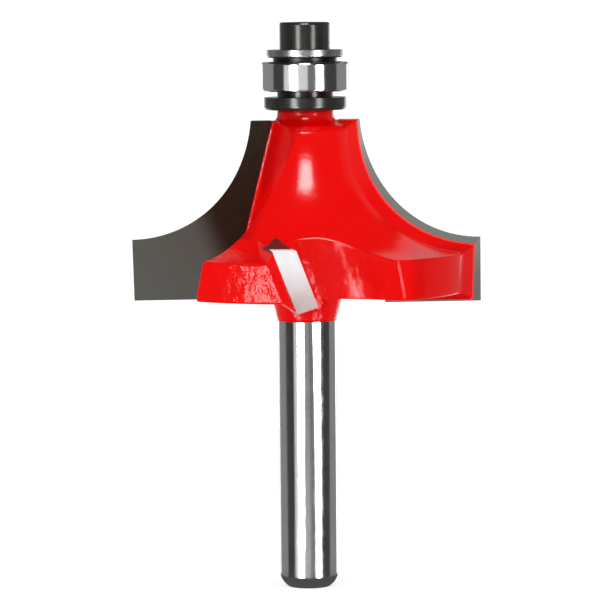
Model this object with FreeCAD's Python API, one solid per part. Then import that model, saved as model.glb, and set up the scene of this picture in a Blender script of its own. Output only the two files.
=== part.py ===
"""Corner-rounding router bit with a pilot bearing.

Frame: origin at the centre of the shank's flat end, +Z along the shank towards the bearing.
The flat faces of the two main cutters run along X. Seen from +Z the bit cuts anticlockwise.
All lengths are millimetres.
"""
import FreeCAD, Part
import math
import os

Vector = FreeCAD.Vector

# Shank and hub
shank_radius = 3.175
shank_end_flat_radius = 2.3
shank_end_round = 1.25
paint_line_height = 29.4
hub_top_radius = 4.0
hub_foot_radius = 3.22

# Cutting profile: a straight side below a concave quarter round
cutter_base_height = 31.5
profile_radius = 12.7
profile_inner_radius = 6.35
side_edge_length = 6.85
cutting_radius = profile_inner_radius + profile_radius
cutter_height = side_edge_length + profile_radius

# Bell: the turned body that follows the cutting profile at a set depth
bell_setback = 1.55
flange_setback = 1.55
flange_base_gap = 1.05
flange_edge_round = 0.3
bell_crown_drop = 0.95
shoulder_radius = 4.1
shoulder_drop = 0.25
neck_radius = 3.09
neck_fillet_height = 0.95
neck_top_gap = 1.35

# Main cutters: flat carbide plates, tilted for a shearing cut
shear_angle = 15.4
rake_offset = 1.2
main_tip_thickness = 1.8
main_relief_angle = 19.0
main_tip_inner_top = 3.88
main_tip_inner_angle = 12.3
main_tip_top_rise = 0.24
tip_proud = 0.07

# Steel wings behind the main cutters
wing_top_drop = 0.03
wing_heel_length = 1.8
wing_heel_drop = 0.85
wing_heel_setback = 1.65
wing_root_depth = 0.8
wing_heel_root_depth = 2.4
milling_stock = 0.5

# Main gullets: milled in front of the main cutters
gullet_lip = 0.35
gullet_floor_azimuth = -62.0
gullet_wall_azimuth = 229.8
gullet_wall_offset = -2.93
gullet_wall_lean = 0.253
gullet_corner_radius = 0.8
gullet_lip_radius = 0.4

# Side cutters: small carbide plates, tilted the other way on the flange
side_shear_angle = 20.6
side_hook_angle = 3.0
side_edge_offset = 0.6
side_tip_thickness = 2.2
side_tip_depth = 5.0
side_tip_top = 6.85
side_tip_base = 0.9
side_relief_angle = 15.5
side_wing_heel_length = 1.0
side_wing_heel_setback = 1.7
side_wing_crown_rise = 1.0
side_wing_root_depth = 9.45

# Side gullets: milled in front of the side cutters
side_gullet_depth = 7.86
side_gullet_floor_width = 5.33
side_gullet_wall_azimuth = -39.6
side_gullet_wall_lean = 0.3
side_gullet_corner_radius = 1.8
side_gullet_bend_share = 0.72

# Stack on the spigot: collar, bearing, washer
collar_radius = 4.5
collar_thickness = 1.37
collar_edge_round = 0.45
collar_boss_radius = 3.075
collar_boss_height = 0.66
washer_neck_radius = 3.5
washer_neck_height = 0.475
washer_radius = 4.15
washer_thickness = 0.85
washer_edge_round = 0.3

# Pilot bearing, 3/16 x 3/8 x 1/8 in
bearing_outer_radius = 4.7625
bearing_bore_radius = 2.38125
bearing_width = 3.175
bearing_edge_round = 0.25
inner_land_radius = 3.05
outer_land_radius = 4.1
ball_count = 8
ball_radius = 0.79375
ball_clearance = 0.06
shield_thickness = 0.15
shield_recess = 0.18
shield_clearance = 0.1
cage_clearance = 0.15
cage_base_depth = 1.1
cage_finger_height = 0.35

# Cap screw, M3
screw_radius = 1.5
screw_head_radius = 2.75
screw_head_height = 3.0
screw_head_edge = 0.3
screw_length = 8.0
socket_across_flats = 2.5
socket_depth = 1.5

# Fits
seat_clearance = 0.015
thread_clearance = 0.02
washer_hole_clearance = 0.1
spigot_top_gap = 0.3
screw_hole_spare = 1.0

# Radii and heights that follow from the sizes above
flange_radius = cutting_radius - flange_setback
arc_centre_height = cutter_base_height + cutter_height
flange_base_height = cutter_base_height + flange_base_gap
neck_top_height = arc_centre_height + neck_top_gap
collar_top_height = neck_top_height + collar_thickness
bearing_base_height = collar_top_height + collar_boss_height
bearing_mid_height = bearing_base_height + bearing_width / 2
bearing_top_height = bearing_base_height + bearing_width
washer_base_height = bearing_top_height + washer_neck_height
head_base_height = washer_base_height + washer_thickness
head_top_height = head_base_height + screw_head_height
spigot_radius = bearing_bore_radius - seat_clearance
spigot_top_height = bearing_top_height - spigot_top_gap
ball_pitch_radius = (bearing_bore_radius + bearing_outer_radius) / 2

UP = Vector(0, 0, 1)
CENTRE = Vector(0, 0, 0)


def tan(degrees):
    return math.tan(math.radians(degrees))


def cos(degrees):
    return math.cos(math.radians(degrees))


def sin(degrees):
    return math.sin(math.radians(degrees))


def turned(edges):
    """Revolve a closed half section, drawn in the XZ plane, about Z."""
    return Part.Face(Part.Wire(edges)).revolve(CENTRE, UP, 360)


def section_line(start, end):
    """A straight edge of a half section, between two (radius, height) points."""
    return Part.makeLine(Vector(start[0], 0, start[1]), Vector(end[0], 0, end[1]))


def section_arc(start, middle, end):
    """A round edge of a half section, through three (radius, height) points."""
    points = [Vector(r, 0, z) for r, z in (start, middle, end)]
    return Part.Arc(*points).toShape()


def section_chain(points):
    """Straight edges that join (radius, height) points one after another."""
    return [section_line(a, b) for a, b in zip(points, points[1:])]


def corner_middle(centre, radius, degrees):
    """The point of a round at this angle about its centre, as (radius, height)."""
    return (centre[0] + radius * cos(degrees), centre[1] + radius * sin(degrees))


def half_turn(shape):
    """A copy turned by half a turn about Z."""
    copy = shape.copy()
    copy.rotate(CENTRE, UP, 180)
    return copy


def ruled(*sections):
    """A solid through polygons of points, its faces straight from each to the next."""
    wires = [Part.makePolygon(points + points[:1]) for points in sections]
    return Part.makeLoft(wires, True, True)


# Turned blank


def bell_arc_angle(radius):
    """Angle down from level at which the bell's round reaches this radius."""
    return math.degrees(math.acos((cutting_radius - radius) / (profile_radius + bell_setback)))


def bell_point(angle):
    """(radius, height) on the bell's round, at an angle down from level."""
    reach = profile_radius + bell_setback
    return (cutting_radius - reach * cos(angle), arc_centre_height - reach * sin(angle))


def blank():
    """The whole turned shape, from the shank's end to the spigot."""
    crown_angle = math.degrees(math.asin(bell_crown_drop / (profile_radius + bell_setback)))
    rim_angle = bell_arc_angle(flange_radius)
    crown = bell_point(crown_angle)
    rim = bell_point(rim_angle)
    shoulder = (shoulder_radius, arc_centre_height - shoulder_drop)
    neck_foot = (neck_radius, shoulder[1] + neck_fillet_height)
    round_centre = (flange_radius - flange_edge_round, flange_base_height + flange_edge_round)
    end_middle = (
        shank_end_flat_radius + 0.62 * (shank_radius - shank_end_flat_radius),
        0.42 * shank_end_round,
    )
    neck_middle = (
        neck_radius + 0.24 * (shoulder_radius - neck_radius),
        shoulder[1] + 0.42 * neck_fillet_height,
    )
    edges = section_chain([(0, neck_top_height), (0, 0), (shank_end_flat_radius, 0)])
    edges.append(section_arc((shank_end_flat_radius, 0), end_middle, (shank_radius, shank_end_round)))
    edges += section_chain(
        [
            (shank_radius, shank_end_round),
            (shank_radius, paint_line_height),
            (hub_foot_radius, paint_line_height),
            (hub_top_radius, flange_base_height),
            (round_centre[0], flange_base_height),
        ]
    )
    edges.append(
        section_arc(
            (round_centre[0], flange_base_height),
            corner_middle(round_centre, flange_edge_round, -45),
            (flange_radius, round_centre[1]),
        )
    )
    edges.append(section_line((flange_radius, round_centre[1]), rim))
    edges.append(section_arc(rim, bell_point((rim_angle + crown_angle) / 2), crown))
    edges.append(section_line(crown, shoulder))
    edges.append(section_arc(shoulder, neck_middle, neck_foot))
    edges += section_chain([neck_foot, (neck_radius, neck_top_height), (0, neck_top_height)])
    spigot = Part.makeCylinder(
        spigot_radius, spigot_top_height - neck_top_height, Vector(0, 0, neck_top_height)
    )
    return turned(edges).fuse(spigot)


# Main cutters and their wings


def rake_y(height, setback):
    """Y of the left cutter's flat face at a height, or of a plane this far behind it."""
    middle = cutter_base_height + cutter_height / 2
    return rake_offset - tan(shear_angle) * (height - middle) + setback / cos(shear_angle)


def rake_point(radius, height, setback):
    """Point of the left cutter's plane at a radius from the axis and a height."""
    y = rake_y(height, setback)
    return Vector(-math.sqrt(radius * radius - y * y), y, height)


def inner_edge_x(height):
    """X of the main tip's straight inner edge at a height."""
    return -main_tip_inner_top - tan(main_tip_inner_angle) * (arc_centre_height - height)


def profile_outline(setback, shrink, top_drop, base_rise, root_shift):
    """Closed wire on a plane behind the rake face, inside the cutting profile by shrink."""
    reach = profile_radius + shrink
    top = arc_centre_height + main_tip_top_rise - top_drop
    base = cutter_base_height + base_rise
    start = math.degrees(math.asin((arc_centre_height - top) / reach))
    end = math.degrees(math.acos(shrink / reach))
    steps = 10
    arc_points = []
    for step in range(steps + 1):
        angle = start + (end - start) * step / steps
        radius = cutting_radius - reach * cos(angle)
        height = arc_centre_height - reach * sin(angle)
        arc_points.append(rake_point(radius, height, setback))
    curve = Part.BSplineCurve()
    curve.interpolate(arc_points)
    foot = rake_point(cutting_radius - shrink, base, setback)
    inner_foot = Vector(inner_edge_x(base) + root_shift, rake_y(base, setback), base)
    inner_top = Vector(inner_edge_x(top) + root_shift, rake_y(top, setback), top)
    edges = [
        curve.toShape(),
        Part.makeLine(arc_points[-1], foot),
        Part.makeLine(foot, inner_foot),
        Part.makeLine(inner_foot, inner_top),
        Part.makeLine(inner_top, arc_points[0]),
    ]
    return Part.Wire(edges)


def main_cutter():
    """The left carbide tip, ground back from its cutting edge."""
    relief = main_tip_thickness * tan(main_relief_angle)
    front = profile_outline(0, 0, 0, 0, 0)
    back = profile_outline(main_tip_thickness, relief, 0, relief / 2, 0)
    return Part.makeLoft([front, back], True, True)


def main_wing():
    """The steel that backs the left tip, with a steeper heel behind it."""
    relief = main_tip_thickness * tan(main_relief_angle)
    shrink = relief + tip_proud
    shoulder = profile_outline(-milling_stock, shrink, wing_top_drop, shrink, wing_root_depth)
    seat = profile_outline(main_tip_thickness, shrink, wing_top_drop, relief / 2 + tip_proud, wing_root_depth)
    heel = profile_outline(
        main_tip_thickness + wing_heel_length,
        wing_heel_setback,
        wing_heel_drop,
        flange_base_gap + tip_proud,
        wing_heel_root_depth,
    )
    return Part.makeLoft([shoulder, seat, heel], True, True)


# Side cutters and their wings


def side_plane_x(y, height, setback):
    """X of the front side cutter's flat face, or of a plane this far behind it."""
    rise = height - cutter_base_height
    hook = tan(side_hook_angle) * (y + cutting_radius)
    return -side_edge_offset - tan(side_shear_angle) * rise - hook - setback / cos(side_shear_angle)


def side_point(radius, height, setback):
    """Point of the front side cutter's plane at a radius from the axis and a height."""
    x = side_plane_x(-radius, height, setback)
    y = -math.sqrt(radius * radius - x * x)
    return Vector(side_plane_x(y, height, setback), y, height)


def side_cutter():
    """The front side tip, square at its foot and level at its head."""
    relief = side_tip_thickness * tan(side_relief_angle)
    base_drop = side_tip_thickness * sin(side_shear_angle)
    wires = []
    for setback, shrink, drop in ((0, 0, 0), (side_tip_thickness, relief, base_drop)):
        head = cutter_base_height + side_tip_top
        foot = cutter_base_height + side_tip_base - drop
        outer = cutting_radius - shrink
        inner = cutting_radius - side_tip_depth
        wires.append(
            [
                side_point(outer, head, setback),
                side_point(outer, foot, setback),
                side_point(inner, foot, setback),
                side_point(inner, head, setback),
            ]
        )
    return ruled(*wires)


def side_wing_outline(setback, radius, foot, head):
    """Four corners of a side wing's section on a plane behind the rake face."""
    return [
        side_point(radius, head, setback),
        side_point(radius, foot, setback),
        side_point(cutting_radius - side_wing_root_depth, foot, setback),
        side_point(cutting_radius - side_wing_root_depth, head + side_wing_crown_rise, setback),
    ]


def side_wing():
    """The steel round the front side tip's seat, with a short heel behind it."""
    relief = side_tip_thickness * tan(side_relief_angle)
    base_drop = side_tip_thickness * sin(side_shear_angle)
    head = cutter_base_height + side_tip_top - 2 * tip_proud
    foot = cutter_base_height + side_tip_base + tip_proud
    outer = cutting_radius - tip_proud
    front = side_wing_outline(-milling_stock, outer - relief, foot, head)
    seat = side_wing_outline(side_tip_thickness, outer - relief, foot - base_drop, head)
    heel = side_wing_outline(
        side_tip_thickness + side_wing_heel_length,
        cutting_radius - side_wing_heel_setback,
        flange_base_height + flange_edge_round,
        head - bell_setback,
    )
    return ruled(front, seat, heel)


# Gullets


def crossing(point, direction, normal, distance):
    """Where a plan line meets the line normal . p = distance."""
    step = (distance - point.dot(normal)) / direction.dot(normal)
    return point + direction * step


def level_polygon(points, height):
    return [Vector(p.x, p.y, height) for p in points]


def filleted_at(tool, radius, low, high):
    """Round the tool's edge that runs between two points."""
    middle = (low + high) * 0.5
    edge = min(tool.Edges, key=lambda e: (e.CenterOfMass - middle).Length)
    return tool.makeFillet(radius, [edge])


def main_gullet():
    """Removed in front of the left tip: along its face, down to the floor, out along the wall."""
    far = 2 * cutting_radius
    floor_way = Vector(cos(gullet_floor_azimuth), sin(gullet_floor_azimuth), 0)
    wall_way = Vector(cos(gullet_wall_azimuth), sin(gullet_wall_azimuth), 0)
    wall_normal = Vector(-wall_way.y, wall_way.x, 0)
    levels = []
    for height in (cutter_base_height - flange_base_gap, neck_top_height + neck_top_gap):
        rise = height - cutter_base_height
        lip = Vector(inner_edge_x(height) + gullet_lip, rake_y(height, 0), 0)
        offset = gullet_wall_offset + gullet_wall_lean * rise
        corner = crossing(lip, floor_way, wall_normal, offset)
        wall_end = corner + wall_way * far
        face_end = Vector(-far, lip.y, 0)
        levels.append(level_polygon([lip, corner, wall_end, Vector(-far, -far, 0), face_end], height))
    tool = ruled(*levels)
    tool = filleted_at(tool, gullet_corner_radius, levels[0][1], levels[1][1])
    return filleted_at(tool, gullet_lip_radius, levels[0][0], levels[1][0])


def side_gullet():
    """Removed in front of the front side tip."""
    far = 2 * cutting_radius
    wall_way = Vector(cos(side_gullet_wall_azimuth), sin(side_gullet_wall_azimuth), 0)
    floor_y = side_gullet_depth - cutting_radius
    foot_x = side_plane_x(floor_y, cutter_base_height, 0)
    levels = []
    for height in (cutter_base_height - flange_base_gap, cutter_base_height + cutter_height / 2):
        rise = height - cutter_base_height
        corner = Vector(side_plane_x(floor_y, height, 0), floor_y, 0)
        bend = Vector(foot_x + side_gullet_floor_width - side_gullet_wall_lean * rise, floor_y, 0)
        face_end = Vector(side_plane_x(-far, height, 0), -far, 0)
        levels.append(level_polygon([corner, bend, bend + wall_way * far, face_end], height))
    tool = ruled(*levels)
    tool = filleted_at(tool, side_gullet_corner_radius, levels[0][0], levels[1][0])
    bend_length = side_gullet_bend_share * (side_gullet_floor_width - side_gullet_corner_radius)
    bend_radius = bend_length / tan(-side_gullet_wall_azimuth / 2)
    return filleted_at(tool, bend_radius, levels[0][1], levels[1][1])


# Body


def body(tips):
    """One steel piece: blank with wings, gullets, seats and the tapped hole."""
    steel = blank()
    for piece in (main_wing(), side_wing()):
        steel = steel.fuse([piece, half_turn(piece)])
    for tool in (main_gullet(), side_gullet()):
        steel = steel.cut([tool, half_turn(tool)])
    steel = steel.cut(tips)
    hole_depth = screw_length + screw_hole_spare - (head_base_height - spigot_top_height)
    hole = Part.makeCylinder(
        screw_radius + thread_clearance, hole_depth, Vector(0, 0, spigot_top_height - hole_depth)
    )
    return steel.cut(hole).removeSplitter()


# Bearing stack


def ring(inner, outer, base, height):
    """A plain ring about Z."""
    outside = Part.makeCylinder(outer, height, Vector(0, 0, base))
    return outside.cut(Part.makeCylinder(inner, height, Vector(0, 0, base)))


def round_edges(shape, radius, height, edge_radius):
    """Round the circles of this radius that lie at one of the heights."""
    chosen = [
        edge
        for edge in shape.Edges
        if isinstance(edge.Curve, Part.Circle)
        and abs(edge.Curve.Radius - radius) < 1e-6
        and any(abs(edge.Curve.Center.z - level) < 1e-6 for level in height)
    ]
    return shape.makeFillet(edge_radius, chosen)


def stop_collar():
    hole = bearing_bore_radius
    disc = ring(hole, collar_radius, neck_top_height, collar_thickness)
    disc = round_edges(disc, collar_radius, [neck_top_height], collar_edge_round)
    boss = ring(hole, collar_boss_radius, collar_top_height, collar_boss_height)
    return disc.fuse(boss).removeSplitter()


def top_washer():
    hole = screw_radius + washer_hole_clearance
    disc = ring(hole, washer_radius, washer_base_height, washer_thickness)
    disc = round_edges(disc, washer_radius, [washer_base_height], washer_edge_round)
    neck = ring(hole, washer_neck_radius, bearing_top_height, washer_neck_height)
    return disc.fuse(neck).removeSplitter()


def ball_groove():
    """The round channel that the balls run in."""
    centre = Vector(0, 0, bearing_mid_height)
    return Part.makeTorus(ball_pitch_radius, ball_radius + ball_clearance, centre, UP)


def bearing_inner_ring():
    blank_ring = ring(bearing_bore_radius, inner_land_radius, bearing_base_height, bearing_width)
    return blank_ring.cut(ball_groove())


def bearing_outer_ring():
    blank_ring = ring(outer_land_radius, bearing_outer_radius, bearing_base_height, bearing_width)
    ends = [bearing_base_height, bearing_top_height]
    blank_ring = round_edges(blank_ring, bearing_outer_radius, ends, bearing_edge_round)
    return blank_ring.cut(ball_groove())


def shield(base):
    return ring(inner_land_radius + shield_clearance, outer_land_radius, base, shield_thickness)


def ball_centre(index):
    angle = 360 * index / ball_count
    return Vector(ball_pitch_radius * cos(angle), ball_pitch_radius * sin(angle), bearing_mid_height)


def bearing_cage():
    """A crown cage: a ring below the balls with fingers between them."""
    inner = inner_land_radius + cage_clearance
    outer = outer_land_radius - cage_clearance
    crown = ring(inner, outer, bearing_mid_height - cage_base_depth, cage_base_depth + cage_finger_height)
    pockets = [
        Part.makeSphere(ball_radius + ball_clearance, ball_centre(index)) for index in range(ball_count)
    ]
    return crown.cut(pockets)


def cap_screw():
    """Socket head cap screw, its thread left plain."""
    head = Part.makeCylinder(screw_head_radius, screw_head_height, Vector(0, 0, head_base_height))
    head = round_edges(head, screw_head_radius, [head_top_height], screw_head_edge)
    shank = Part.makeCylinder(screw_radius, screw_length, Vector(0, 0, head_base_height - screw_length))
    corner_radius = socket_across_flats / 2 / cos(30)
    floor = head_top_height - socket_depth
    corners = [
        Vector(corner_radius * cos(60 * step), corner_radius * sin(60 * step), floor) for step in range(7)
    ]
    socket = Part.Face(Part.makePolygon(corners)).extrude(Vector(0, 0, socket_depth))
    return head.fuse(shank).cut(socket)


# All pieces, by node name

left_tip = main_cutter()
front_tip = side_cutter()
tips = {
    "main_cutter_left": left_tip,
    "main_cutter_right": half_turn(left_tip),
    "side_cutter_front": front_tip,
    "side_cutter_rear": half_turn(front_tip),
}
pieces = {"body": body(list(tips.values()))}
pieces.update(tips)
pieces["stop_collar"] = stop_collar()
pieces["bearing_inner_ring"] = bearing_inner_ring()
pieces["bearing_outer_ring"] = bearing_outer_ring()
pieces["shield_bottom"] = shield(bearing_base_height + shield_recess)
pieces["shield_top"] = shield(bearing_top_height - shield_recess - shield_thickness)
pieces["bearing_cage"] = bearing_cage()
for number in range(ball_count):
    pieces["ball_%d" % (number + 1)] = Part.makeSphere(ball_radius, ball_centre(number))
pieces["top_washer"] = top_washer()
pieces["cap_screw"] = cap_screw()

os.makedirs("parts", exist_ok=True)
for name, shape in pieces.items():
    if len(shape.Solids) != 1 or not shape.isValid():
        raise ValueError("%s is not one valid solid" % name)
    shape.Solids[0].exportStep("parts/%s.step" % name)
    print("%-22s volume %9.3f mm3" % (name, shape.Volume))
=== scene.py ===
import math

import bmesh
import bpy
from mathutils import Matrix, Vector


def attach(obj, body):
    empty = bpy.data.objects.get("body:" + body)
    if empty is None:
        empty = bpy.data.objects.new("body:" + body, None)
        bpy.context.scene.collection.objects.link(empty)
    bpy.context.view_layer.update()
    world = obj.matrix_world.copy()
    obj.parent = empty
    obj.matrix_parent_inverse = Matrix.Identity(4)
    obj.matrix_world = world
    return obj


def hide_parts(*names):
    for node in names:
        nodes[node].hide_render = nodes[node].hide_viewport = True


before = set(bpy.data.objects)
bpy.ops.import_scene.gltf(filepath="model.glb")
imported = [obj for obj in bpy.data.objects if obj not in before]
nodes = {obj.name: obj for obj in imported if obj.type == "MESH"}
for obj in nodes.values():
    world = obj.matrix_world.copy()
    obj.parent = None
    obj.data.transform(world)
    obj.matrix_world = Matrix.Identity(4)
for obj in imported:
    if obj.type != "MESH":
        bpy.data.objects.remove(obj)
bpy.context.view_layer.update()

# Camera
# It stands 400 mm in front of the bit, a little to the left of the flat faces of the main cutters
# and 5 degrees above the middle, with a long lens. The picture leans half a degree to the left.
MM = 0.001
scene = bpy.context.scene

camera_place = Vector((-44.6, -396.0, 66.1)) * MM
camera_aim = Vector((0, 0, 31.558)) * MM
camera_lean = 0.0088
picture_width = 600
lens_in_pixels = 3651
axis_offset_in_pixels = 6.9

view_way = (camera_aim - camera_place).normalized()
level_right = view_way.cross(Vector((0, 0, 1))).normalized()
level_up = level_right.cross(view_way)
picture_up = level_up * math.cos(camera_lean) + level_right * math.sin(camera_lean)
picture_right = view_way.cross(picture_up)

camera_data = bpy.data.cameras.new("camera")
camera_data.sensor_width = 36
camera_data.lens = lens_in_pixels / picture_width * camera_data.sensor_width
camera_data.shift_x = -axis_offset_in_pixels / picture_width
camera_data.clip_start = 0.01
camera_data.clip_end = 20
camera = bpy.data.objects.new("camera", camera_data)
scene.collection.objects.link(camera)
camera_turn = Matrix((picture_right, picture_up, -view_way)).transposed()
camera.matrix_world = Matrix.Translation(camera_place) @ camera_turn.to_4x4()
scene.camera = camera


# Studio
# A pale table under a pale dome lights everything evenly. Cards round the bit, which only show
# in reflections, give steel its bands, and a lamp above the camera gives the bell its highlight.
class Graph:
    """A tree of nodes under construction."""

    def __init__(self, tree):
        self.tree = tree

    def node(self, kind, settings, inputs, output=0):
        """Add a node, with its settings first and then its inputs, and give one of its outputs."""
        made = self.tree.nodes.new(kind)
        for name, value in settings.items():
            setattr(made, name, value)
        for key, value in inputs.items():
            if isinstance(value, Shade):
                self.tree.links.new(value.socket, made.inputs[key])
            else:
                made.inputs[key].default_value = value
        return Shade(self, made.outputs[output])


class Shade:
    """A socket of a tree. Arithmetic on it adds Math nodes."""

    def __init__(self, graph, socket):
        self.graph = graph
        self.socket = socket

    def maths(self, operation, *values):
        return self.graph.node("ShaderNodeMath", {"operation": operation}, dict(enumerate(values)))

    def __add__(self, other):
        return self.maths("ADD", self, other)

    def __radd__(self, other):
        return self.maths("ADD", other, self)

    def __sub__(self, other):
        return self.maths("SUBTRACT", self, other)

    def __rsub__(self, other):
        return self.maths("SUBTRACT", other, self)

    def __mul__(self, other):
        return self.maths("MULTIPLY", self, other)

    def __rmul__(self, other):
        return self.maths("MULTIPLY", other, self)

    def absolute(self):
        return self.maths("ABSOLUTE", self)

    def sign(self):
        return self.maths("SIGN", self)

    def step(self, low, high):
        """0 below low and 1 above high, with a smooth rise between; falls if low is above high."""
        inputs = {0: self, 1: min(low, high), 2: max(low, high)}
        inputs[3], inputs[4] = (0, 1) if low < high else (1, 0)
        return self.graph.node("ShaderNodeMapRange", {"interpolation_type": "SMOOTHSTEP"}, inputs)


class Finish(Graph):
    """A material under construction, with its coordinates in millimetres."""

    def __init__(self, name):
        self.material = bpy.data.materials.new(name)
        self.material.use_nodes = True
        super().__init__(self.material.node_tree)
        self.tree.nodes.clear()
        self.output = self.tree.nodes.new("ShaderNodeOutputMaterial")

    def place(self):
        """The point on the bit, in millimetres."""
        raw = self.node("ShaderNodeTexCoord", {}, {}, "Object")
        scale = (1 / MM, 1 / MM, 1 / MM)
        return self.node("ShaderNodeVectorMath", {"operation": "MULTIPLY"}, {0: raw, 1: scale})

    def axes(self, place):
        """The three coordinates of a place."""
        split = self.node("ShaderNodeSeparateXYZ", {}, {0: place}).socket.node
        return [Shade(self, socket) for socket in split.outputs]

    def stretched(self, place, scale):
        return self.node("ShaderNodeVectorMath", {"operation": "MULTIPLY"}, {0: place, 1: scale})

    def noise(self, place, scale, detail=2.0, roughness=0.5):
        inputs = {"Vector": place, "Scale": scale, "Detail": detail, "Roughness": roughness}
        return self.node("ShaderNodeTexNoise", {}, inputs)

    def mixed(self, share, first, second):
        """A colour between two colours."""
        return self.node("ShaderNodeMix", {"data_type": "RGBA"}, {0: share, 6: first, 7: second}, 2)

    def bump(self, height, depth):
        """A normal from a height map whose full range is this deep, in millimetres."""
        inputs = {"Height": height, "Distance": depth * MM, "Strength": 1.0}
        return self.node("ShaderNodeBump", {}, inputs)

    def surface(self, inputs):
        """End the material in one Principled shader."""
        shader = self.node("ShaderNodeBsdfPrincipled", {}, inputs)
        self.tree.links.new(shader.socket, self.output.inputs["Surface"])
        return self.material


def glow(name, tone, strength):
    """A plain material that gives off light and reflects a share of what falls on it."""
    inputs = {
        "Base Color": (tone, tone, tone, 1),
        "Roughness": 1.0,
        "Specular IOR Level": 0.0,
        "Emission Color": (1, 1, 1, 1),
        "Emission Strength": strength,
    }
    return Finish(name).surface(inputs)


def new_piece(name, mesh, material=None):
    piece = bpy.data.objects.new(name, mesh)
    scene.collection.objects.link(piece)
    if material:
        mesh.materials.clear()
        mesh.materials.append(material)
    return piece


def turned_mesh(name, outline, sides):
    """A surface turned about Z from (radius, height) points in millimetres, from the centre out."""
    mesh = bpy.data.meshes.new(name)
    built = bmesh.new()
    centre = built.verts.new((0, 0, outline[0][1] * MM))
    rings = []
    angles = [2 * math.pi * side / sides for side in range(sides)]
    for radius, height in outline[1:]:
        ring = [(radius * math.cos(angle), radius * math.sin(angle), height) for angle in angles]
        rings.append([built.verts.new(Vector(point) * MM) for point in ring])
    for side in range(sides):
        following = (side + 1) % sides
        built.faces.new((centre, rings[0][side], rings[0][following]))
        for inner, outer in zip(rings, rings[1:]):
            built.faces.new((inner[side], outer[side], outer[following], inner[following]))
    built.to_mesh(mesh)
    built.free()
    mesh.shade_smooth()
    return mesh


table_radius = 900
dome_radius = 1500
dome_foot_height = dome_radius / 2
dome_steps = 16
dome_sides = 96
quarter_turn = [math.radians(90 * step / dome_steps) for step in range(dome_steps)]
sweep = [(0, 0)]
for angle in quarter_turn:
    radius = table_radius + (dome_radius - table_radius) * math.sin(angle)
    sweep.append((radius, dome_foot_height * (1 - math.cos(angle))))
for angle in quarter_turn:
    sweep.append((dome_radius * math.cos(angle), dome_foot_height + dome_radius * math.sin(angle)))
pale_dome = glow("pale_dome", 0.3, 0.76)
pale_dome.cycles.emission_sampling = "NONE"
table = new_piece("studio_table", turned_mesh("studio_table", sweep, dome_sides), pale_dome)
table.visible_glossy = False

camera_azimuth = math.atan2(camera_place.x, -camera_place.y)


def studio_direction(azimuth, elevation):
    """The way to a point seen from the bit, in degrees right of and above the camera's heading."""
    turn = camera_azimuth + math.radians(azimuth)
    rise = math.radians(elevation)
    return Vector((math.sin(turn) * math.cos(rise), -math.cos(turn) * math.cos(rise), math.sin(rise)))


def soft_edged(name, azimuths, softness, strength):
    """A glowing material that fades over this many degrees inside both ends of a card."""
    lit = Finish(name)
    first, last = azimuths
    side_way = studio_direction((first + last) / 2 + 90, 0)
    unit = lit.node("ShaderNodeVectorMath", {"operation": "NORMALIZE"}, {0: lit.place()})
    aside = lit.node("ShaderNodeVectorMath", {"operation": "DOT_PRODUCT"}, {0: unit, 1: side_way}, 1)
    outer = math.sin(math.radians((last - first) / 2))
    inner = math.sin(math.radians((last - first) / 2 - softness))
    unlit = (0.004, 0.004, 0.004, 1)
    inputs = {
        "Base Color": (0, 0, 0, 1),
        "Roughness": 1.0,
        "Specular IOR Level": 0.0,
        "Emission Color": lit.mixed(aside.absolute().step(outer, inner), unlit, (1, 1, 1, 1)),
        "Emission Strength": strength,
    }
    return lit.surface(inputs)


def card(name, azimuths, heights, radius, material):
    """A standing curved card between two azimuths and two heights, which only shows in reflections."""
    mesh = bpy.data.meshes.new(name)
    built = bmesh.new()
    first, last = azimuths
    degrees_in_a_face = 5
    steps = max(2, int((last - first) / degrees_in_a_face))
    pairs = []
    for step in range(steps + 1):
        way = studio_direction(first + (last - first) * step / steps, 0) * radius * MM
        pairs.append([built.verts.new(way + Vector((0, 0, height * MM))) for height in heights])
    for (low_a, high_a), (low_b, high_b) in zip(pairs, pairs[1:]):
        built.faces.new((low_a, low_b, high_b, high_a))
    built.to_mesh(mesh)
    built.free()
    reflected_only(new_piece(name, mesh, material))


def reflected_only(piece):
    """Keep a studio piece out of the picture and out of the soft light."""
    piece.visible_camera = False
    piece.visible_diffuse = False
    piece.visible_shadow = False


box_heights = (-450, 58)
box_radius = 700
box_side_radius = 710
card_radius = 720
for name, azimuths, lit_azimuths, radius, softness, strength in (
    ("left_box", (-42, -19), (-42, -19), box_radius, 8, 26.0),
    ("right_box", (28, 51), (28, 51), box_radius, 9, 22.0),
    ("left_box_side", (-60, -38), (-60, -30), box_side_radius, 6, 0.95),
):
    card(name, azimuths, box_heights, radius, soft_edged(name, lit_azimuths, softness, strength))
for name, azimuths, heights, strength in (
    ("front_high", (-20, 7), (-20, 120), 0.85),
    ("front_middle", (-20, 12), (-75, -20), 0.15),
    ("front_low", (-20, 13), (-300, -75), 0.6),
    ("front_right", (7, 30), (-300, 120), 0.2),
    ("behind_left", (92, 146), (-450, 500), 0.3),
    ("behind_left_box", (146, 160), (-450, 130), 2.4),
    ("behind_middle", (160, 197), (-450, 500), 0.45),
    ("behind_right_box", (197, 208), (-450, 130), 2.0),
    ("behind_right", (208, 268), (-450, 500), 0.3),
    ("dark_left", (-92, -50), (-450, 500), 0.06),
    ("dark_right", (45, 92), (-450, 500), 0.06),
):
    card(name, azimuths, heights, card_radius, glow(name, 0.0, strength))
sheen_radius = 11
sheen_height = -0.2
sheen_mesh = turned_mesh("floor_sheen", [(0, sheen_height), (sheen_radius, sheen_height)], 48)
reflected_only(new_piece("floor_sheen", sheen_mesh, glow("floor_sheen", 0.0, 0.1)))

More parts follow.
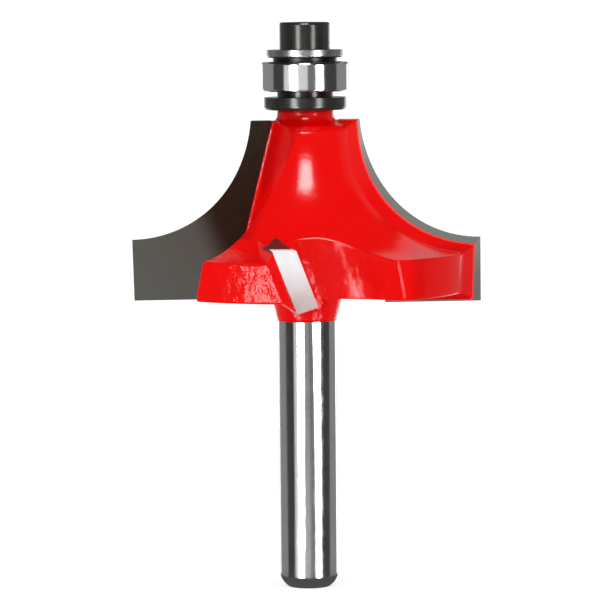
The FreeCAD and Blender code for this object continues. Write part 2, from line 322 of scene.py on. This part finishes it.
cutter_base = 31.5
top_light = bpy.data.lights.new("top_box", "AREA")
top_light.shape = "RECTANGLE"
top_light.size = 0.26
top_light.size_y = 0.33
top_light.energy = 10.0
top_box = bpy.data.objects.new("top_box", top_light)
scene.collection.objects.link(top_box)
top_light_elevation = 44
top_way = studio_direction(0, top_light_elevation)
top_box.rotation_mode = "QUATERNION"
top_box.rotation_quaternion = top_way.to_track_quat("Z", "Y")
top_box.location = (Vector((0, 0, cutter_base)) + top_way * box_radius) * MM
top_box.visible_camera = False
top_box.visible_diffuse = False

beyond_the_dome = (0.015, 0.015, 0.015, 1)
studio_world = bpy.data.worlds.new("studio")
studio_world.use_nodes = True
studio_world.node_tree.nodes["Background"].inputs["Color"].default_value = beyond_the_dome
scene.world = studio_world
scene.view_settings.view_transform = "Standard"


# Coated head
# One piece of steel, turned to a bell that follows the cut, milled with four gullets, and dipped
# in a thick glossy red coating that rounds every edge.
def closed_slice(node, low, high):
    """A closed copy of a turned node's mesh between two heights in millimetres."""
    merge_distance = 0.0005
    cut_tolerance = 0.0001
    mesh = node.data.copy()
    built = bmesh.new()
    built.from_mesh(mesh)
    bmesh.ops.remove_doubles(built, verts=built.verts, dist=merge_distance * MM)
    for level, way in ((low, 1), (high, -1)):
        if level is None:
            continue
        parts = built.verts[:] + built.edges[:] + built.faces[:]
        bmesh.ops.bisect_plane(
            built,
            geom=parts,
            plane_co=(0, 0, level * MM),
            plane_no=(0, 0, way),
            clear_inner=True,
            dist=cut_tolerance * MM,
        )
        rim = [edge for edge in built.edges if edge.is_boundary]
        bmesh.ops.holes_fill(built, edges=rim, sides=0)
    bmesh.ops.recalc_face_normals(built, faces=built.faces)
    built.to_mesh(mesh)
    built.free()
    return mesh


def final_mesh(piece):
    """Swap a piece's mesh for the one its modifiers give, and drop the modifiers."""
    graph = bpy.context.evaluated_depsgraph_get()
    mesh = bpy.data.meshes.new_from_object(piece.evaluated_get(graph))
    piece.modifiers.clear()
    piece.data = mesh
    return mesh


def seat_filler(node, inner_point, inset, thickness_share):
    """A tip's mesh made thinner, and drawn in along the plate towards a point near its root."""
    mesh = node.data.copy()
    areas = {}
    for face in mesh.polygons:
        key = tuple(round(value, 1) for value in face.normal)
        areas[key] = areas.get(key, 0) + face.area
    face_way = Vector(max(areas, key=areas.get)).normalized()
    depths = [vertex.co.dot(face_way) for vertex in mesh.vertices]
    middle_depth = (min(depths) + max(depths)) / 2
    centre = inner_point + face_way * (middle_depth - inner_point.dot(face_way))
    for vertex in mesh.vertices:
        offset = vertex.co - centre
        across = face_way * offset.dot(face_way)
        vertex.co = centre + (offset - across) * (1 - inset) + across * thickness_share
    return mesh


paint_edge = 29.4
neck_top = 52.4
slice_gap = 0.01
coating_voxel = 0.13
filler_inset = 0.06
filler_thickness_share = 0.75
tip_roots = {
    "main_cutter_left": (-5, 0, 36.4),
    "main_cutter_right": (5, 0, 36.4),
    "side_cutter_front": (-2.2, -16, 35.4),
    "side_cutter_rear": (2.2, 16, 35.4),
}
head_mesh = closed_slice(nodes["body"], paint_edge + slice_gap, neck_top - slice_gap)
filled = bmesh.new()
filled.from_mesh(head_mesh)
for tip_name, root in tip_roots.items():
    inner_point = Vector(root) * MM
    filled.from_mesh(seat_filler(nodes[tip_name], inner_point, filler_inset, filler_thickness_share))
filled.to_mesh(head_mesh)
filled.free()
head = new_piece("coated_head", head_mesh)
remesh = head.modifiers.new("coat", "REMESH")
remesh.mode = "VOXEL"
remesh.voxel_size = coating_voxel * MM
smooth = head.modifiers.new("flow", "SMOOTH")
smooth.factor = 0.5
smooth.iterations = 5
thin = head.modifiers.new("thin", "DECIMATE")
thin.ratio = 0.3
final_mesh(head).shade_smooth()

red = Finish("red_coating")
place = red.place()
across_x, along_y, height_z = red.axes(place)
# The rear half is the front half turned round, and front_x makes both halves look the same.
front_x = along_y.sign() * across_x * -1
# The coating is darker in a small triangle above each side cutter, with two sloping sides.
triangle_base = 38.0
left_side_slope = 0.91
right_side_slope = 0.456
darker_triangle = (
    height_z.step(triangle_base, triangle_base + 0.12)
    * (height_z + left_side_slope * front_x).step(35.3, 35.1)
    * (height_z - right_side_slope * front_x).step(41.25, 41.1)
    * front_x.step(-6.3, -6.0)
    * along_y.absolute().step(9.6, 9.9)
)
triangle_red = (0.13, 0.018, 0.022, 1)
# Painted shade: the coating is a deeper red on the gullets' walls and at the ends of the flange.
flange_share = height_z.step(38.6, 36.6)
bell_share = height_z.step(39.5, 42.0)
wall_slope = 0.512
gullet_wall_shade = (front_x - wall_slope * height_z).step(-26.5, -27.2) * height_z.step(38.6, 39.2)
flange_end_shade = flange_share * front_x.step(9.0, 10.5)
shade = red.noise(place, 0.12, 1.0)
coat_red = red.mixed(shade, (0.85, 0.0009, 0.0005, 1), (0.8, 0.0008, 0.0004, 1))
painted_shade_red = (0.5, 0.0005, 0.0002, 1)
coat_red = red.mixed(gullet_wall_shade * 0.6 + flange_end_shade * 0.5, coat_red, painted_shade_red)
# It has a fine peel all over, and runs and lumps on the flange.
fine_peel = red.noise(place, 2.4, 2.0, 0.6)
lumps = red.noise(place, 0.8, 1.5, 0.5)
mottled = flange_share * (front_x.step(2.6, 1.8) + front_x.step(7.5, 6.5)) * 0.5
peel_height = fine_peel * (mottled * 0.25 + bell_share * 0.07 + 0.05)
surface_height = peel_height + lumps * (mottled * 0.7 + 0.03)
peel_depth = 0.22
red_coating = red.surface(
    {
        "Base Color": red.mixed(darker_triangle, coat_red, triangle_red),
        "Roughness": darker_triangle * 0.3 + 0.15,
        "Specular IOR Level": 0.2,
        "Normal": red.bump(surface_height, peel_depth),
    }
)
head.data.materials.clear()
head.data.materials.append(red_coating)
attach(head, "bit")


class Recipe(Graph):
    """A Geometry Nodes tree under construction, with named inputs."""

    def __init__(self, name, inputs):
        super().__init__(bpy.data.node_groups.new(name, "GeometryNodeTree"))
        sockets = self.tree.interface
        sockets.new_socket(name="Geometry", in_out="INPUT", socket_type="NodeSocketGeometry")
        sockets.new_socket(name="Geometry", in_out="OUTPUT", socket_type="NodeSocketGeometry")
        self.values = {}
        for label, value in inputs.items():
            kind = "NodeSocketInt" if isinstance(value, int) else "NodeSocketFloat"
            made = sockets.new_socket(name=label, in_out="INPUT", socket_type=kind)
            self.values[made.identifier] = value
        entry = self.tree.nodes.new("NodeGroupInput")
        self.given = {socket.name: Shade(self, socket) for socket in entry.outputs if socket.name}

    def vector(self, x, y, z):
        return self.node("ShaderNodeCombineXYZ", {}, {0: x, 1: y, 2: z})

    def grown(self, geometry, piece, material):
        """End the tree, grow it on a piece, and leave a plain mesh there."""
        real = self.node("GeometryNodeRealizeInstances", {}, {0: geometry})
        dressed = self.node("GeometryNodeSetMaterial", {}, {0: real, "Material": material})
        leave = self.tree.nodes.new("NodeGroupOutput")
        self.tree.links.new(dressed.socket, leave.inputs[0])
        grower = piece.modifiers.new(self.tree.name, "NODES")
        grower.node_group = self.tree
        for identifier, value in self.values.items():
            grower[identifier] = value
        final_mesh(piece).shade_smooth()
        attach(piece, "bit")


bead_sizes = {
    "Radius": 3.185 * MM,
    "Height": 29.42 * MM,
    "Thickness": 0.06 * MM,
    "Wave": 0.16 * MM,
    "Seed": 3,
}
bead = Recipe("paint_bead", bead_sizes)
line_circle = {"Resolution": 96, "Radius": bead.given["Radius"]}
line = bead.node("GeometryNodeCurvePrimitiveCircle", {}, line_circle)
wave_noise = {"W": bead.given["Seed"], "Scale": 380.0, "Detail": 2.0}
wave = bead.node("ShaderNodeTexNoise", {"noise_dimensions": "4D"}, wave_noise)
rise = (wave - 0.5) * bead.given["Wave"] + bead.given["Height"]
line = bead.node("GeometryNodeSetPosition", {}, {0: line, "Offset": bead.vector(0.0, 0.0, rise)})
wire_circle = {"Resolution": 8, "Radius": bead.given["Thickness"]}
wire = bead.node("GeometryNodeCurvePrimitiveCircle", {}, wire_circle)
ring = bead.node("GeometryNodeCurveToMesh", {}, {0: line, 1: wire})
bead.grown(ring, new_piece("paint_bead", bpy.data.meshes.new("paint_bead")), red_coating)

speck_sizes = {"Density": 26000.0, "Radius": 0.11 * MM, "Flatness": 0.35, "Seed": 11}
specks = Recipe("coating_specks", speck_sizes)
ground = specks.given["Geometry"]
spread = {0: ground, "Density": specks.given["Density"], "Seed": specks.given["Seed"]}
points = specks.node("GeometryNodeDistributePointsOnFaces", {}, spread)
turns = Shade(specks, points.socket.node.outputs["Rotation"])
round_speck = {"Segments": 8, "Rings": 5, "Radius": specks.given["Radius"]}
blob = specks.node("GeometryNodeMeshUVSphere", {}, round_speck)
smallest = 0.35
sizes_drawn = {2: smallest, 3: 1.0, "Seed": specks.given["Seed"]}
size = specks.node("FunctionNodeRandomValue", {}, sizes_drawn, 1)
shape = specks.vector(size, size, size * specks.given["Flatness"])
placed = {0: points, "Instance": blob, "Rotation": turns, "Scale": shape}
scattered = specks.node("GeometryNodeInstanceOnPoints", {}, placed)
specks.grown(scattered, new_piece("coating_specks", head.data.copy()), red_coating)


# Bare shank
# The same piece of steel below the coating, centreless ground to fit the collet, with the short
# spigot that the bearing sits on.
shank_mesh = closed_slice(nodes["body"], None, paint_edge - slice_gap)
spigot_mesh = closed_slice(nodes["body"], neck_top - slice_gap, None)
steel = Finish("ground_steel")
place = steel.place()
rings_of_grinding = steel.noise(steel.stretched(place, (0.25, 0.25, 9.0)), 1.0, 3.0, 0.6)
smudges = steel.noise(place, 0.35, 3.0, 0.6)
ground_steel = steel.surface(
    {
        "Base Color": steel.mixed(smudges, (0.72, 0.72, 0.71, 1), (0.62, 0.62, 0.6, 1)),
        "Metallic": 1.0,
        "Roughness": smudges.step(0.35, 0.7) * 0.08 + 0.13,
        "Normal": steel.bump(rings_of_grinding, 0.0012),
    }
)
sharp_angle = math.radians(30)
shank = new_piece("bare_shank", shank_mesh, ground_steel)
spigot = new_piece("spigot", spigot_mesh, ground_steel)
for piece in (shank, spigot):
    piece.data.shade_smooth()
    piece.data.set_sharp_from_angle(angle=sharp_angle)
    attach(piece, "bit")
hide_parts("body")
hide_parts("body")
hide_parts("body")


# Carbide tips
# Four plates of ground tungsten carbide, brazed into seats in the head. The large ones are browned
# near the bell, by brazing heat and by a painted reflection of the red coating, and the coating laps
# over their back corner.
def dress(node_name, material):
    piece = nodes[node_name]
    piece.data.materials.clear()
    piece.data.materials.append(material)


shear_slope = math.tan(math.radians(15.4))
cutter_middle = 41.27
rake_offset = 1.2
coating_lap = 1.81
tip = Finish("main_carbide")
place = tip.place()
across_x, along_y, height_z = tip.axes(place)
# left_y is Y on the left tip, and on the right tip as if that were turned round to the left.
left_y = along_y * across_x.sign() * -1
behind_face = left_y + shear_slope * (height_z - cutter_middle) - rake_offset
ground_back = behind_face.step(0.02, 0.06)
lapped = behind_face.step(coating_lap, coating_lap + 0.03)
# The brown, partly brazing heat and partly a painted reflection of the red coating, reaches out to a
# line that slopes outwards from the foot of the tip.
reach = across_x.absolute()
heat_tint_and_reflection = (reach * 0.75 - (height_z - cutter_base) * 0.33).step(6.8, 4.0)
streaks = tip.noise(tip.stretched(place, (3.0, 3.0, 0.5)), 1.0, 3.0, 0.6)
grain = tip.noise(place, 5.0, 2.0, 0.6)
face_grey = tip.mixed(grain, (0.115, 0.118, 0.105, 1), (0.092, 0.095, 0.084, 1))
brown_tint_and_reflection = tip.mixed(streaks, (0.018, 0.008, 0.004, 1), (0.034, 0.021, 0.014, 1))
# Painted light: the ground back of each tip is lighter towards the top and darker towards its foot.
painted_lit_back = tip.mixed(streaks, (0.26, 0.26, 0.24, 1), (0.2, 0.19, 0.17, 1))
back_with_painted_light = tip.mixed(height_z.step(39.5, 33.5), painted_lit_back, (0.15, 0.14, 0.125, 1))
bare_carbide = tip.mixed(ground_back, tip.mixed(heat_tint_and_reflection, face_grey, brown_tint_and_reflection), back_with_painted_light)
lapping_red = (0.8, 0.0008, 0.0004, 1)
main_carbide = tip.surface(
    {
        "Base Color": tip.mixed(lapped, bare_carbide, lapping_red),
        "Metallic": 0.1,
        "Roughness": 0.42,
        "Specular IOR Level": 0.15,
        "Normal": tip.bump(streaks, 0.003),
    }
)
for side in ("main_cutter_left", "main_cutter_right"):
    dress(side, main_carbide)

small_tip = Finish("side_carbide")
place = small_tip.place()
height_z = small_tip.axes(place)[2]
clouds = small_tip.noise(place, 0.9, 2.0, 0.6)
# Painted reflection: the side tips are near white at the top and fade to pinkish brown towards the
# foot, with random clouds.
painted_reflection_fade = height_z.step(37.6, 31.6) * 0.75 + clouds * 0.25
side_carbide = small_tip.surface(
    {
        "Base Color": small_tip.mixed(painted_reflection_fade, (0.88, 0.87, 0.89, 1), (0.4, 0.27, 0.26, 1)),
        "Roughness": 0.4,
        "Specular IOR Level": 0.2,
        "Normal": small_tip.bump(clouds, 0.02),
    }
)
for side in ("side_cutter_front", "side_cutter_rear"):
    dress(side, side_carbide)


# Stop collar, washer and screw
# Turned steel with an oiled black oxide finish. They clamp the bearing's inner ring on its spigot,
# and the flange of the washer is worn bright.
oxide = Finish("black_oxide")
place = oxide.place()
cloud = oxide.noise(place, 0.9, 3.0, 0.6)
turning = oxide.noise(oxide.stretched(place, (0.5, 0.5, 7.0)), 1.0, 2.0, 0.6)
black_oxide = oxide.surface(
    {
        "Base Color": oxide.mixed(cloud, (0.016, 0.017, 0.014, 1), (0.036, 0.037, 0.032, 1)),
        "Metallic": 0.2,
        "Roughness": cloud * 0.1 + 0.16,
        "Specular IOR Level": 0.4,
        "Normal": oxide.bump(turning, 0.004),
    }
)
for part in ("stop_collar", "cap_screw"):
    dress(part, black_oxide)

worn = Finish("worn_oxide")
place = worn.place()
rub = worn.noise(worn.stretched(place, (0.8, 0.8, 2.0)), 1.0, 3.0, 0.6)
neck_oxide = (0.03, 0.031, 0.027, 1)
washer_flange = worn.axes(place)[2].step(58.1, 58.3)
bare_steel = worn.mixed(rub, (0.4, 0.4, 0.4, 1), (0.24, 0.24, 0.23, 1))
worn_oxide = worn.surface(
    {
        "Base Color": worn.mixed(washer_flange, neck_oxide, bare_steel),
        "Metallic": 0.9,
        "Roughness": 0.32,
        "Normal": worn.bump(rub, 0.01),
    }
)
dress("top_washer", worn_oxide)


# Guide bearing
# A deep-groove ball bearing: two polished rings with eight balls in a pressed cage between two
# thin shields. Its outer ring rolls along the edge of the work.
race = Finish("polished_rings")
place = race.place()
fine_rings = race.noise(race.stretched(place, (0.2, 0.2, 14.0)), 1.0, 2.0, 0.6)
polished_rings = race.surface(
    {
        "Base Color": (0.72, 0.72, 0.73, 1),
        "Metallic": 1.0,
        "Roughness": 0.12,
        "Normal": race.bump(fine_rings, 0.0006),
    }
)
for part in [name for name in nodes if name.startswith(("bearing_", "ball_", "shield_"))]:
    dress(part, polished_rings)
